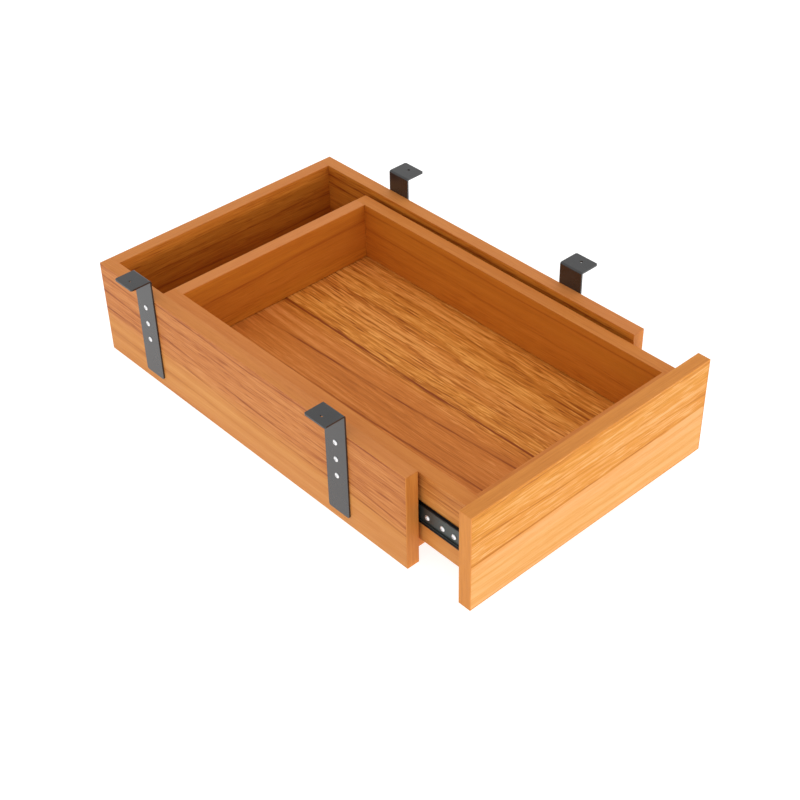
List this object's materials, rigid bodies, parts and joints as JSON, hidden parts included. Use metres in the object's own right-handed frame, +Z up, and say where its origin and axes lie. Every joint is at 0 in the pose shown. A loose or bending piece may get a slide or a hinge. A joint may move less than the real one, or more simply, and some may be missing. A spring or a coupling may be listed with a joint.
{
  "type": "under desk drawer",
  "caption": "Shallow wooden drawer in an open casing that hangs under a desk from angle brackets, running out on ball bearing slides.",
  "frame": {"origin": "bottom centre of the whole part's box, on the plane of the casing's underside, with the drawer 72 mm open as stored", "axes": "+Z up towards the desk, -Y the way the drawer opens, X across the width"},
  "size_m": [0.404, 0.609, 0.149],
  "materials": {
    "board_wood": "satin orange-brown wood veneer on board",
    "floor_wood": "satin wood veneer, ribbed grain",
    "edge_band_wood": "satin wood edge band",
    "dowel_wood": "raw beech",
    "bracket_steel": "dark grey powder coat",
    "slide_steel": "black coated steel",
    "cage_steel": "dark coated strip",
    "ball_steel": "polished",
    "bumper_rubber": "matte",
    "bright_screws": "bright zinc"
  },
  "bodies": {
    "casing": {"bracket_front_left": "bracket_steel", "bracket_front_right": "bracket_steel", "bracket_rear_left": "bracket_steel", "bracket_rear_right": "bracket_steel", "bracket_screws": "bright_screws", "casing_back_panel": "board_wood", "casing_back_top_band": "edge_band_wood", "casing_bottom_front_band": "edge_band_wood", "casing_bottom_panel": "board_wood", "casing_dowels": "dowel_wood", "casing_left_front_band": "edge_band_wood", "casing_left_panel": "board_wood", "casing_left_top_band": "edge_band_wood", "casing_right_front_band": "edge_band_wood", "casing_right_panel": "board_wood", "casing_right_top_band": "edge_band_wood", "slide_bumper_left": "bumper_rubber", "slide_bumper_right": "bumper_rubber", "slide_casing_screws": "bright_screws", "slide_outer_left": "slide_steel", "slide_outer_right": "slide_steel"},
    "drawer": {"drawer_back": "board_wood", "drawer_back_band": "edge_band_wood", "drawer_bottom": "floor_wood", "drawer_box_front": "board_wood", "drawer_box_front_band": "edge_band_wood", "drawer_dowels": "dowel_wood", "drawer_front": "board_wood", "drawer_front_end_bands": "edge_band_wood", "drawer_front_long_bands": "edge_band_wood", "drawer_front_screws": "bright_screws", "drawer_left_side": "board_wood", "drawer_left_side_band": "edge_band_wood", "drawer_right_side": "board_wood", "drawer_right_side_band": "edge_band_wood", "slide_drawer_screws": "bright_screws", "slide_inner_left": "slide_steel", "slide_inner_right": "slide_steel"},
    "cage_left": {"slide_ball_cage_left": "cage_steel", "slide_balls_left": "ball_steel"},
    "cage_right": {"slide_ball_cage_right": "cage_steel", "slide_balls_right": "ball_steel"}
  },
  "joints": [
    {"name": "drawer_slide", "type": "slide", "parent": "casing", "child": "drawer", "axis": [0, -1, 0], "range_m": [-0.072, 0.268]},
    {"name": "cage_left_slide", "type": "slide", "parent": "casing", "child": "cage_left", "axis": [0, -1, 0], "range_m": [-0.036, 0.134]},
    {"name": "cage_right_slide", "type": "slide", "parent": "casing", "child": "cage_right", "axis": [0, -1, 0], "range_m": [-0.036, 0.134]}
  ],
  "couplings": [
    {"joint": "cage_left_slide", "follows": "drawer_slide", "ratio": 0.5},
    {"joint": "cage_right_slide", "follows": "drawer_slide", "ratio": 0.5}
  ]
}
